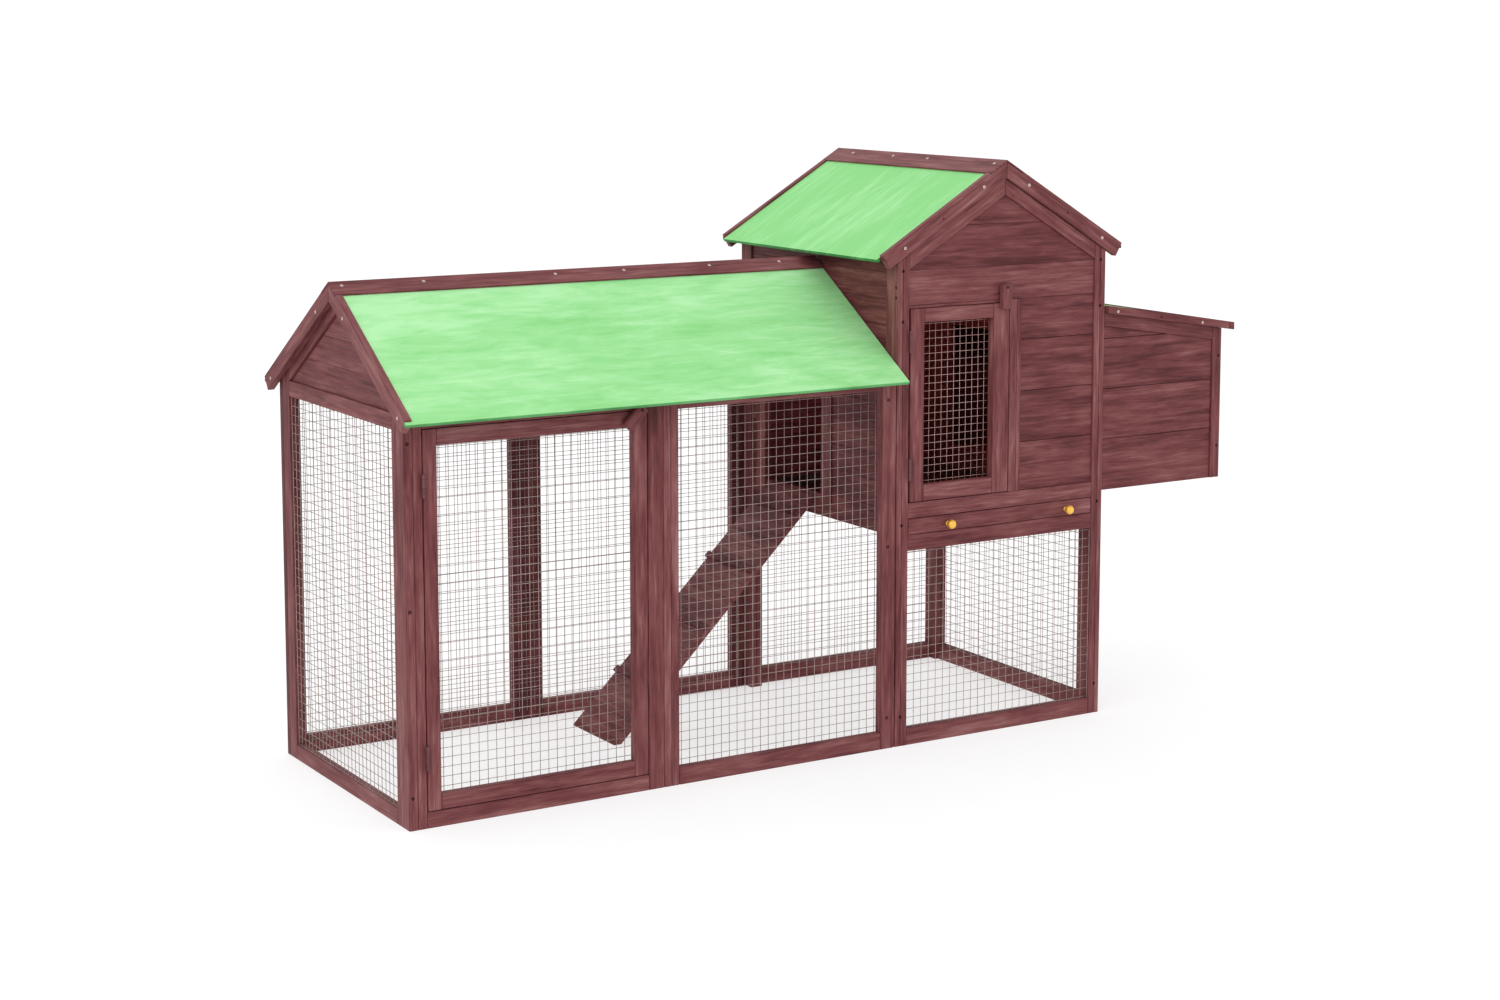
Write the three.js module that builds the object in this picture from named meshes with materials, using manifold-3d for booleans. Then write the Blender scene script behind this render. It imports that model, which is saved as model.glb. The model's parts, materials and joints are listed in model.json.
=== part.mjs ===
// A timber chicken coop: a long mesh run with its own gabled roof, a taller hen house at one end,
// and a nest box hung on the outside of the house. Millimetres, +Z up.
// Workshop coordinates: x from the run's free end towards the nest box, y from the front to the back,
// z from the ground. The exported group moves them to the middle of the coop's footprint.

import * as THREE from "three";
import { mergeVertices } from "three/addons/utils/BufferGeometryUtils.js";
import Module from "manifold-3d";

const wasm = await Module();
wasm.setup();

// ---------------------------------------------------------------- driving dimensions

const DEPTH = 590; // front face to back face
const MIDDLE = DEPTH / 2;
const BOARD = 14; // wall and bargeboard thickness
const FRAME = 18; // thickness of the mesh frames and doors
const JOINT_GAP = 0.3; // clearance between pieces that only rest on each other
const DOOR_GAP = 1.5; // clearance round a door or drawer front

const RUN_LENGTH = 1050;
const RUN_RIDGE = 965.4; // height of the ridge cap
const RUN_PITCH = THREE.MathUtils.degToRad(32.4);
const RUN_EAVE_REACH = 342.5; // from the ridge out to the eave
const RUN_OVERHANG = 15; // bargeboards beyond the free end
const RUN_PLATE_TOP = 762; // top of the run's frames
const RUN_OPENING_TOP = 722;
const STILE = 33; // upright of a mesh frame
const BASE = 34; // height of the rails on the ground
const MESH_RISE = [18, 742]; // bottom and top of the wire behind the run's frames

const HOUSE_LEFT = 1052;
const HOUSE_RIGHT = 1570.5;
const HOUSE_MIDDLE = (HOUSE_LEFT + HOUSE_RIGHT) / 2;
const HOUSE_RIDGE = 1166.6;
const HOUSE_PITCH = THREE.MathUtils.degToRad(31);
const HOUSE_EAVE_REACH = 303.5;
const HOUSE_FRONT_OVERHANG = 5;
const HOUSE_REAR_OVERHANG = 17;
const POST = { wide: 28, deep: 40 };
const WALL_BOTTOM = 425;
const WALL_RECESS = 4;
const SILL_TOP = 492.5; // top of the rail above the tray

const ROOFING = 6.5; // thickness of a roof panel
const CAP = 4; // thickness of a ridge cap, and how far the bargeboards stand above the roof panels
const BARGE_WIDTH = 31;
const BARGE_SHORT = 9; // the bargeboards stop this far short of the eave
const MESH = 0.8; // thickness of a sheet of wire mesh

const NEST_LENGTH = 319.5;
const NEST_RIGHT = HOUSE_RIGHT + NEST_LENGTH;
const NEST_BOTTOM = 472.5;
const NEST_LID_START = HOUSE_RIGHT + 2.5;
const NEST_LID_TIP = 1917;
const NEST_LID_TOP = 860; // at the house wall
const NEST_FALL = 0.158; // fall of the lid for each unit outwards
const NEST_LID_EDGE = 16; // height of the lid's edge boards

const RUN_DOOR = { x: [37, 489.5], z: [31.5, 725], opening: { x: [64, 461], z: [60, 695] } };
const HOUSE_DOOR = { x: [1083.5, 1325.5], z: [494, 879], opening: { x: [1117, 1286], z: [526, 851] } };
const POP_HOLE = { y: [275, 495], z: [470, 720] };
const RAMP = { y: [300, 480], foot: 577, thick: 12, cleats: 4, firstCleat: 141, cleatPitch: 155 };
const TRAY = { z: [429, 460], back: 560, knobs: [1177, 1475], knobHeight: 443 };
const BUTTON = { long: 52, wide: 24, y: [-13, -1] };
const RUN_BUTTON = { pivot: [451, 706], tail: 12, tilt: Math.PI / 4 }; // tail: end to screw
const HOUSE_BUTTON = { pivot: [1311, 874], tail: 7, tilt: 0 };
const HINGE = { tall: 44, knuckle: 3, y: -3.2 };
const RUN_HINGES = { axis: 36, leaf: [35.2, 36], heights: [130, 625] };
const HOUSE_HINGES = { axis: 1082, leaf: [1080.2, 1081.2], heights: [560, 815] };

// ---------------------------------------------------------------- materials

const material = (color, roughness, metalness = 0) =>
  new THREE.MeshStandardMaterial({ color, roughness, metalness });
const STAINED_WOOD = () => material(0x7d4d4f, 0.75);
const GREEN_ROOFING = () => material(0x9be692, 0.85);
const WIRE = () => material(0xb9b6b2, 0.45, 0.8);
const HINGE_STEEL = () => material(0x6b4346, 0.5, 0.3);
const BRASS = () => material(0xf2c14e, 0.35, 0.5);
const ZINC_SHEET = () => material(0xa9abad, 0.4, 0.8);

// ---------------------------------------------------------------- solids

const named = (name, geometry, finish) => {
  const mesh = new THREE.Mesh(geometry, finish());
  mesh.name = name;
  return mesh;
};

// A straight board between two values on each axis.
function board(name, x, y, z, finish = STAINED_WOOD) {
  const mesh = named(name, new THREE.BoxGeometry(x[1] - x[0], y[1] - y[0], z[1] - z[0]), finish);
  mesh.position.set((x[0] + x[1]) / 2, (y[0] + y[1]) / 2, (z[0] + z[1]) / 2);
  return mesh;
}

function shapeOf(points, openings = []) {
  const shape = new THREE.Shape(points.map(([u, v]) => new THREE.Vector2(u, v)));
  for (const opening of openings) {
    shape.holes.push(new THREE.Path(opening.map(([u, v]) => new THREE.Vector2(u, v))));
  }
  return shape;
}

const rectangle = (u, v) => [
  [u[0], v[0]],
  [u[1], v[0]],
  [u[1], v[1]],
  [u[0], v[1]],
];

// An outline in the x-z plane, given thickness along y.
function slabAcrossY(points, y, openings = []) {
  const geometry = new THREE.ExtrudeGeometry(shapeOf(points, openings), {
    depth: y[1] - y[0],
    bevelEnabled: false,
  });
  return geometry.rotateX(Math.PI / 2).translate(0, y[1], 0);
}

// An outline in the y-z plane, given thickness along x.
function slabAcrossX(points, x, openings = []) {
  const geometry = new THREE.ExtrudeGeometry(shapeOf(points, openings), {
    depth: x[1] - x[0],
    bevelEnabled: false,
  });
  const turn = new THREE.Matrix4().makeBasis(
    new THREE.Vector3(0, 1, 0),
    new THREE.Vector3(0, 0, 1),
    new THREE.Vector3(1, 0, 0),
  );
  return geometry.applyMatrix4(turn).translate(x[0], 0, 0);
}

const block = (x, y, z) => slabAcrossY(rectangle(x, z), y);

function toManifold(geometry) {
  const bare = geometry.clone();
  bare.deleteAttribute("normal");
  bare.deleteAttribute("uv");
  const merged = mergeVertices(bare);
  return new wasm.Manifold(
    new wasm.Mesh({
      numProp: 3,
      vertProperties: new Float32Array(merged.attributes.position.array),
      triVerts: new Uint32Array(merged.index.array),
    }),
  );
}

function fromManifold(solid) {
  const { vertProperties, triVerts } = solid.getMesh();
  const geometry = new THREE.BufferGeometry();
  geometry.setAttribute("position", new THREE.BufferAttribute(vertProperties, 3));
  geometry.setIndex(new THREE.BufferAttribute(triVerts, 1));
  const faceted = geometry.toNonIndexed();
  faceted.computeVertexNormals();
  return faceted;
}

const joined = (...geometries) =>
  fromManifold(geometries.map(toManifold).reduce((whole, piece) => whole.add(piece)));

const cut = (geometry, ...tools) =>
  fromManifold(tools.map(toManifold).reduce((whole, tool) => whole.subtract(tool), toManifold(geometry)));

// ---------------------------------------------------------------- roofs

// One side of a gabled roof in its own cross-section: t runs down the slope from the ridge, n is the
// depth below the line along the top of the bargeboards, and side is -1 or 1.
class Slope {
  constructor(middle, ridge, pitch, side) {
    Object.assign(this, { middle, ridge, pitch, side });
  }

  point(t, n) {
    const out = t * Math.cos(this.pitch) - n * Math.sin(this.pitch);
    const down = t * Math.sin(this.pitch) + n * Math.cos(this.pitch);
    return [this.middle + this.side * out, this.ridge - down];
  }

  // The same depth at a distance out from the ridge, where a plumb cut is wanted.
  plumb(out, n) {
    return this.point((out + n * Math.sin(this.pitch)) / Math.cos(this.pitch), n);
  }

  eave(reach) {
    return (reach + CAP * Math.sin(this.pitch)) / Math.cos(this.pitch);
  }

  panel(reach) {
    const eave = this.eave(reach);
    return [
      this.plumb(JOINT_GAP, CAP),
      this.point(eave, CAP),
      this.point(eave, CAP + ROOFING),
      this.plumb(JOINT_GAP, CAP + ROOFING),
    ];
  }

  // The strip of a panel along its eave that shows below the bargeboard's end.
  drip(reach) {
    const eave = this.eave(reach);
    const start = eave - BARGE_SHORT + JOINT_GAP;
    return [
      this.point(start, CAP),
      this.point(eave, CAP),
      this.point(eave, CAP + ROOFING),
      this.point(start, CAP + ROOFING),
    ];
  }

  bargeboard(reach, capWidth) {
    const end = this.eave(reach) - BARGE_SHORT;
    const step = CAP + JOINT_GAP;
    return [
      this.plumb(JOINT_GAP, step),
      this.point(capWidth + JOINT_GAP, step),
      this.point(capWidth + JOINT_GAP, 0),
      this.point(end, 0),
      this.point(end, BARGE_WIDTH),
      this.plumb(JOINT_GAP, BARGE_WIDTH),
    ];
  }
}

const slopesOf = (middle, ridge, pitch) => [-1, 1].map((side) => new Slope(middle, ridge, pitch, side));

// Height of the line at depth n below the top of a roof, at a place across it.
function roofLine([slope], place, n) {
  const out = Math.abs(place - slope.middle);
  return slope.ridge - out * Math.tan(slope.pitch) - n / Math.cos(slope.pitch);
}

function ridgeCap(slopes, width) {
  const [left, right] = slopes;
  return [
    left.point(width, 0),
    [left.middle, left.ridge],
    right.point(width, 0),
    right.point(width, CAP - JOINT_GAP),
    [left.middle, left.ridge - (CAP - JOINT_GAP) / Math.cos(left.pitch)],
    left.point(width, CAP - JOINT_GAP),
  ];
}

const runSlopes = slopesOf(MIDDLE, RUN_RIDGE, RUN_PITCH);
const houseSlopes = slopesOf(HOUSE_MIDDLE, HOUSE_RIDGE, HOUSE_PITCH);
const UNDERSIDE = CAP + ROOFING + JOINT_GAP;
const BELOW_BARGE = BARGE_WIDTH + 1.5;

// ---------------------------------------------------------------- run

const SIDE_NAMES = ["front", "rear"];
const RUN_CAP_WIDTH = 40;

function runRoof() {
  const group = new THREE.Group();
  const panelEnd = -RUN_OVERHANG + BOARD + JOINT_GAP;
  runSlopes.forEach((slope, i) => {
    const panel = joined(
      slabAcrossX(slope.panel(RUN_EAVE_REACH), [panelEnd, RUN_LENGTH - 0.5]),
      slabAcrossX(slope.drip(RUN_EAVE_REACH), [-RUN_OVERHANG, panelEnd + 1]),
    );
    group.add(named(`run_roof_${SIDE_NAMES[i]}`, panel, GREEN_ROOFING));
    const barge = slabAcrossX(slope.bargeboard(RUN_EAVE_REACH, RUN_CAP_WIDTH), [
      -RUN_OVERHANG,
      -RUN_OVERHANG + BOARD,
    ]);
    group.add(named(`run_bargeboard_${SIDE_NAMES[i]}`, barge, STAINED_WOOD));
  });
  const cap = slabAcrossX(ridgeCap(runSlopes, RUN_CAP_WIDTH), [-RUN_OVERHANG, RUN_LENGTH - 0.5]);
  group.add(named("run_ridge_cap", cap, STAINED_WOOD));
  return group;
}

// The post at the free front corner and the stile at the free rear corner, cut to the roof's slope.
function runCorners() {
  const post = (name, x, y) => {
    const outline = [
      [y[0], 0],
      [y[1], 0],
      [y[1], roofLine(runSlopes, y[1], UNDERSIDE)],
      [y[0], roofLine(runSlopes, y[0], UNDERSIDE)],
    ];
    return named(name, slabAcrossX(outline, x), STAINED_WOOD);
  };
  const group = new THREE.Group();
  group.add(post("run_corner_post_front", [0, 35], [0, 50]));
  group.add(post("run_corner_post_rear", [0, FRAME], [540, DEPTH - 16 - JOINT_GAP]));
  return group;
}

function runEnd() {
  const between = [50 + JOINT_GAP, 540 - JOINT_GAP];
  const railTop = 30;
  const underside = (y) => [y, roofLine(runSlopes, y, UNDERSIDE)];
  const outline = [
    [between[0], RUN_OPENING_TOP],
    [between[1], RUN_OPENING_TOP],
    underside(between[1]),
    underside(MIDDLE),
    underside(between[0]),
  ];
  const trimDepth = 50; // the sloping trims reach this far below the bargeboards' top
  const sunkBase = 752;
  const halfSunk = (roofLine(runSlopes, MIDDLE, trimDepth) - sunkBase) / Math.tan(RUN_PITCH);
  const sunk = [
    [MIDDLE - halfSunk, sunkBase],
    [MIDDLE + halfSunk, sunkBase],
    [MIDDLE, roofLine(runSlopes, MIDDLE, trimDepth)],
  ];
  const gable = cut(slabAcrossX(outline, [0, FRAME]), slabAcrossX(sunk, [-1, 5]));
  const group = new THREE.Group();
  group.add(named("run_gable_panel", gable, STAINED_WOOD));
  group.add(board("run_end_base_rail", [0, FRAME], between, [0, railTop]));
  group.add(board("run_end_mesh", [2, 2 + MESH], between, [railTop, RUN_OPENING_TOP], WIRE));
  return group;
}

// Door sill, door head, middle post and the fixed mesh frame, screwed together as one front.
function runFront() {
  const start = 35 + JOINT_GAP;
  const doorSide = 491;
  const head = 726.5;
  const sill = 30;
  const fixedStart = 524;
  const outline = rectangle([start, RUN_LENGTH], [0, RUN_PLATE_TOP]);
  const whole = slabAcrossY(outline, [0, FRAME]);
  const doorway = block([start - 1, doorSide], [-1, FRAME + 1], [sill, head]);
  const window = block([fixedStart + STILE, RUN_LENGTH - STILE], [-1, FRAME + 1], [BASE, RUN_OPENING_TOP]);
  const middlePost = block([doorSide, fixedStart], [FRAME - 1, 30], [0, RUN_PLATE_TOP]);
  const group = new THREE.Group();
  const frame = joined(cut(whole, doorway, window), middlePost);
  group.add(named("run_front_frame", frame, STAINED_WOOD));
  group.add(
    board("run_front_mesh", [fixedStart + 6, RUN_LENGTH - 12], [FRAME, FRAME + MESH], MESH_RISE, WIRE),
  );
  return group;
}

function runRear() {
  const thick = 16;
  const centre = 522.5;
  const stile = 35;
  const face = DEPTH - thick;
  const whole = slabAcrossY(rectangle([0, RUN_LENGTH], [0, RUN_PLATE_TOP]), [face, DEPTH]);
  const windows = [
    [stile, centre - stile],
    [centre + stile, RUN_LENGTH - stile],
  ].map((x) => block(x, [face - 1, DEPTH + 1], [BASE + 2, RUN_OPENING_TOP]));
  const group = new THREE.Group();
  group.add(named("run_rear_frame", cut(whole, ...windows), STAINED_WOOD));
  group.add(board("run_rear_mesh", [20, RUN_LENGTH - 12], [face - MESH, face], MESH_RISE, WIRE));
  return group;
}

// ---------------------------------------------------------------- doors

function door(name, { x, z, opening }) {
  const outline = rectangle(x, z);
  const leaf = slabAcrossY(outline, [0, FRAME], [rectangle(opening.x, opening.z)]);
  const lap = 12; // how far the mesh runs behind the frame
  const group = new THREE.Group();
  group.add(named(`${name}_frame`, leaf, STAINED_WOOD));
  group.add(
    board(
      `${name}_mesh`,
      [opening.x[0] - lap, opening.x[1] + lap],
      [FRAME, FRAME + MESH],
      [opening.z[0] - lap, opening.z[1] + lap],
      WIRE,
    ),
  );
  return group;
}

// A pair of butt hinges: each leaf stands in the gap beside the door, its knuckle just in front of it.
function doorHinges(name, { axis, leaf, heights }) {
  const half = HINGE.tall / 2;
  const group = new THREE.Group();
  ["lower", "upper"].forEach((which, i) => {
    const height = heights[i];
    const knuckle = new THREE.CylinderGeometry(HINGE.knuckle, HINGE.knuckle, HINGE.tall, 16);
    knuckle.rotateX(Math.PI / 2).translate(axis, HINGE.y, height);
    const plate = block(leaf, [HINGE.y, FRAME - 4], [height - half, height + half]);
    group.add(named(`${name}_hinge_${which}`, joined(knuckle, plate), HINGE_STEEL));
  });
  return group;
}

// A wooden turn button: its screw is nearer one end, and it turns in front of the door.
function turnButton(name, { pivot, tail, tilt }) {
  const half = BUTTON.wide / 2;
  const outline = rectangle([-half, half], [-tail, BUTTON.long - tail]);
  const button = named(name, slabAcrossY(outline, BUTTON.y), STAINED_WOOD);
  button.position.set(pivot[0], 0, pivot[1]);
  button.rotation.y = tilt;
  return button;
}

function doors() {
  const group = new THREE.Group();
  group.add(door("run_door", RUN_DOOR), doorHinges("run_door", RUN_HINGES));
  group.add(turnButton("run_door_button", RUN_BUTTON));
  group.add(door("house_door", HOUSE_DOOR), doorHinges("house_door", HOUSE_HINGES));
  group.add(turnButton("house_door_button", HOUSE_BUTTON));
  return group;
}

// ---------------------------------------------------------------- ramp

// A plank from the ground to the pop hole's sill, with cleats across it.
function ramp() {
  const rise = POP_HOLE.z[0] - 4;
  const run = HOUSE_LEFT - 1.5 - RAMP.foot;
  const angle = Math.atan2(rise, run);
  const long = Math.hypot(rise, run);
  const cleat = { wide: 14, high: 8 };
  const plank = [
    [0, 0],
    [RAMP.thick / Math.tan(angle), -RAMP.thick],
    [long - RAMP.thick * Math.tan(angle), -RAMP.thick],
    [long, 0],
  ];
  const pieces = [slabAcrossY(plank, RAMP.y)];
  for (let i = 0; i < RAMP.cleats; i += 1) {
    const at = RAMP.firstCleat + i * RAMP.cleatPitch;
    pieces.push(block([at, at + cleat.wide], RAMP.y, [-1, cleat.high]));
  }
  const mesh = named("ramp", joined(...pieces), STAINED_WOOD);
  mesh.rotation.y = -angle;
  mesh.position.set(RAMP.foot, 0, 1);
  return mesh;
}

// ---------------------------------------------------------------- house

const ROOM = [HOUSE_LEFT + POST.wide, HOUSE_RIGHT - POST.wide]; // between the posts, left to right
const BETWEEN_POSTS = [POST.deep, DEPTH - POST.deep];
const HOUSE_CAP_WIDTH = 48;

function housePosts() {
  const group = new THREE.Group();
  const faces = { left: [HOUSE_LEFT, ROOM[0]], right: [ROOM[1], HOUSE_RIGHT] };
  const depths = { front: [0, POST.deep], rear: [DEPTH - POST.deep, DEPTH] };
  for (const [end, y] of Object.entries(depths)) {
    for (const [side, x] of Object.entries(faces)) {
      const outline = [
        [x[0], 0],
        [x[1], 0],
        [x[1], roofLine(houseSlopes, x[1], BELOW_BARGE)],
        [x[0], roofLine(houseSlopes, x[0], BELOW_BARGE)],
      ];
      group.add(named(`house_post_${end}_${side}`, slabAcrossY(outline, y), STAINED_WOOD));
    }
  }
  return group;
}

function houseBase() {
  const rail = 20;
  const group = new THREE.Group();
  group.add(board("house_base_rail_front", ROOM, [0, rail], [0, BASE]));
  group.add(board("house_base_rail_rear", ROOM, [DEPTH - rail, DEPTH], [0, BASE]));
  group.add(board("house_base_rail_right", [HOUSE_RIGHT - rail, HOUSE_RIGHT], BETWEEN_POSTS, [0, BASE]));
  group.add(board("house_rail_below_tray", ROOM, [0, rail], [396, TRAY.z[0] - 1]));
  group.add(board("house_rail_above_tray", ROOM, [0, rail], [TRAY.z[1] + DOOR_GAP, SILL_TOP]));
  group.add(board("house_mesh_front", ROOM, [2, 2 + MESH], [BASE, 396], WIRE));
  const rear = [DEPTH - 2 - MESH, DEPTH - 2];
  group.add(board("house_mesh_rear", ROOM, rear, [BASE, WALL_BOTTOM], WIRE));
  const right = [HOUSE_RIGHT - 2 - MESH, HOUSE_RIGHT - 2];
  group.add(board("house_mesh_right", right, BETWEEN_POSTS, [BASE, WALL_BOTTOM], WIRE));
  const floor = [TRAY.z[0] - 10, TRAY.z[0] - 1];
  const floorDepth = [rail + 0.5, DEPTH - rail];
  group.add(board("house_floor", [ROOM[0] + 1, ROOM[1] - 1], floorDepth, floor));
  return group;
}

// Boarding above the door and beside it, with the sloping trims and the batten left proud.
function houseFrontWall() {
  const doorTop = HOUSE_DOOR.z[1] + DOOR_GAP;
  const bottom = SILL_TOP + JOINT_GAP;
  const batten = [HOUSE_DOOR.x[1] + DOOR_GAP, 1356];
  const battenTop = 886;
  const top = (x, n) => [x, roofLine(houseSlopes, x, n)];
  const outline = [
    [batten[0], bottom],
    [ROOM[1], bottom],
    top(ROOM[1], BELOW_BARGE),
    top(HOUSE_MIDDLE, BELOW_BARGE),
    top(ROOM[0], BELOW_BARGE),
    [ROOM[0], doorTop],
    [batten[0], doorTop],
  ];
  const trimDepth = 60; // the sloping trims reach this far below the bargeboards' top
  const past = 1; // the sunk area runs past the outline
  const sunk = [
    [batten[1], bottom - past],
    [ROOM[1] + past, bottom - past],
    top(ROOM[1] + past, trimDepth),
    top(HOUSE_MIDDLE, trimDepth),
    top(ROOM[0] - past, trimDepth),
    [ROOM[0] - past, doorTop - past],
    [batten[0] - past, doorTop - past],
    [batten[0] - past, battenTop],
    [batten[1], battenTop],
  ];
  const wall = cut(slabAcrossY(outline, [0, BOARD]), slabAcrossY(sunk, [-1, WALL_RECESS - 1]));
  return named("house_front_wall", wall, STAINED_WOOD);
}

function houseWalls() {
  const group = new THREE.Group();
  group.add(houseFrontWall());

  const top = (x, n) => [x, roofLine(houseSlopes, x, n)];
  const rear = [
    [ROOM[0], WALL_BOTTOM],
    [ROOM[1], WALL_BOTTOM],
    top(ROOM[1], UNDERSIDE),
    top(HOUSE_MIDDLE, UNDERSIDE),
    top(ROOM[0], UNDERSIDE),
  ];
  group.add(named("house_rear_wall", slabAcrossY(rear, [DEPTH - BOARD, DEPTH]), STAINED_WOOD));

  const leftX = [HOUSE_LEFT + WALL_RECESS, HOUSE_LEFT + WALL_RECESS + BOARD - 2];
  const wallTop = roofLine(houseSlopes, leftX[0], UNDERSIDE);
  const side = rectangle(BETWEEN_POSTS, [WALL_BOTTOM, wallTop]);
  const guide = (y) => block([HOUSE_LEFT, leftX[0] + 1], y, [452, 770]);
  const leftWall = joined(
    slabAcrossX(side, leftX, [rectangle(POP_HOLE.y, POP_HOLE.z)]),
    guide([POP_HOLE.y[0] - 36, POP_HOLE.y[0]]),
    guide([POP_HOLE.y[1], POP_HOLE.y[1] + 36]),
  );
  group.add(named("house_left_wall", leftWall, STAINED_WOOD));

  const rightX = [HOUSE_RIGHT - BOARD + 2, HOUSE_RIGHT];
  const rightTop = roofLine(houseSlopes, rightX[1], UNDERSIDE);
  const nestHole = rectangle([70, DEPTH - 70], [500, 770]);
  const rightSide = rectangle(BETWEEN_POSTS, [WALL_BOTTOM, rightTop]);
  group.add(named("house_right_wall", slabAcrossX(rightSide, rightX, [nestHole]), STAINED_WOOD));
  return group;
}

function houseRoof() {
  const group = new THREE.Group();
  const front = [-HOUSE_FRONT_OVERHANG, -HOUSE_FRONT_OVERHANG + BOARD];
  const rear = [DEPTH + HOUSE_REAR_OVERHANG - BOARD, DEPTH + HOUSE_REAR_OVERHANG];
  const span = [front[1] + JOINT_GAP, rear[0] - JOINT_GAP];
  const sides = ["left", "right"];
  houseSlopes.forEach((slope, i) => {
    const panel = joined(
      slabAcrossY(slope.panel(HOUSE_EAVE_REACH), span),
      slabAcrossY(slope.drip(HOUSE_EAVE_REACH), [front[0], rear[1]]),
    );
    group.add(named(`house_roof_${sides[i]}`, panel, GREEN_ROOFING));
    for (const [end, y] of Object.entries({ front, rear })) {
      const barge = slabAcrossY(slope.bargeboard(HOUSE_EAVE_REACH, HOUSE_CAP_WIDTH), y);
      group.add(named(`house_bargeboard_${end}_${sides[i]}`, barge, STAINED_WOOD));
    }
  });
  const cap = slabAcrossY(ridgeCap(houseSlopes, HOUSE_CAP_WIDTH), [front[0], rear[1]]);
  group.add(named("house_ridge_cap", cap, STAINED_WOOD));
  return group;
}

// A drawer under the house: a wooden front with two knobs, and a sheet-metal pan behind it.
function tray() {
  const side = 4;
  const panX = [ROOM[0] + side, ROOM[1] - side];
  const panZ = [TRAY.z[0] + 2, TRAY.z[1] - 3];
  const sheet = 1.5;
  const front = 16;
  const hollowX = [panX[0] + sheet, panX[1] - sheet];
  const hollowY = [front + sheet, TRAY.back - sheet];
  const hollow = block(hollowX, hollowY, [panZ[0] + sheet, panZ[1] + 1]);
  const pan = cut(block(panX, [front, TRAY.back], panZ), hollow);
  const group = new THREE.Group();
  group.add(board("tray_front", [ROOM[0] + 1, ROOM[1] - 1], [0, front], TRAY.z));
  group.add(named("tray_pan", pan, ZINC_SHEET));
  ["left", "right"].forEach((which, i) => group.add(knob(`tray_knob_${which}`, TRAY.knobs[i])));
  return group;
}

// A round knob on a short neck.
function knob(name, x) {
  const profile = [
    [0, 0],
    [5, 0],
    [4, 2.5],
    [4, 8],
    [8, 11],
    [9.5, 15],
    [8, 19],
    [4.5, 21.3],
    [0, 22],
  ].map(([r, h]) => new THREE.Vector2(r, h));
  const mesh = named(name, new THREE.LatheGeometry(profile, 20), BRASS);
  mesh.rotation.x = Math.PI;
  mesh.position.set(x, -JOINT_GAP, TRAY.knobHeight);
  return mesh;
}

// ---------------------------------------------------------------- nest box

const lidLine = (x, depth = 0) => NEST_LID_TOP - (x - HOUSE_RIGHT) * NEST_FALL - depth;

function nestBox() {
  const start = HOUSE_RIGHT + JOINT_GAP;
  const postStart = NEST_RIGHT - 25;
  const topStrip = 27;
  const under = NEST_LID_EDGE + JOINT_GAP;
  const outline = [
    [start, NEST_BOTTOM],
    [NEST_RIGHT, NEST_BOTTOM],
    [NEST_RIGHT, lidLine(NEST_RIGHT, under)],
    [start, lidLine(start, under)],
  ];
  const sunk = [
    [start - 1, NEST_BOTTOM - 1],
    [postStart, NEST_BOTTOM - 1],
    [postStart, lidLine(postStart, under + topStrip)],
    [start - 1, lidLine(start - 1, under + topStrip)],
  ];
  const recess = WALL_RECESS - 1;
  const side = (name, y, recessY) =>
    named(name, cut(slabAcrossY(outline, y), slabAcrossY(sunk, recessY)), STAINED_WOOD);
  const group = new THREE.Group();
  group.add(side("nest_front_side", [0, BOARD], [-1, recess]));
  group.add(side("nest_rear_side", [DEPTH - BOARD, DEPTH], [DEPTH - recess, DEPTH + 1]));

  const inside = [BOARD + JOINT_GAP, DEPTH - BOARD - JOINT_GAP];
  const endPanel = [NEST_RIGHT - BOARD, NEST_RIGHT];
  const endTop = lidLine(NEST_RIGHT, under);
  group.add(board("nest_end_panel", endPanel, inside, [NEST_BOTTOM, endTop]));

  const floorTop = NEST_BOTTOM + 12;
  const floor = block([start, endPanel[0] - JOINT_GAP], inside, [NEST_BOTTOM, floorTop]);
  const dividerOutline = [
    [start, floorTop - 1],
    [endPanel[0] - JOINT_GAP, floorTop - 1],
    [endPanel[0] - JOINT_GAP, lidLine(endPanel[0], under + 8)],
    [start, lidLine(start, under + 8)],
  ];
  const divider = slabAcrossY(dividerOutline, [MIDDLE - 6, MIDDLE + 6]);
  group.add(named("nest_floor", joined(floor, divider), STAINED_WOOD));
  return group;
}

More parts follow.
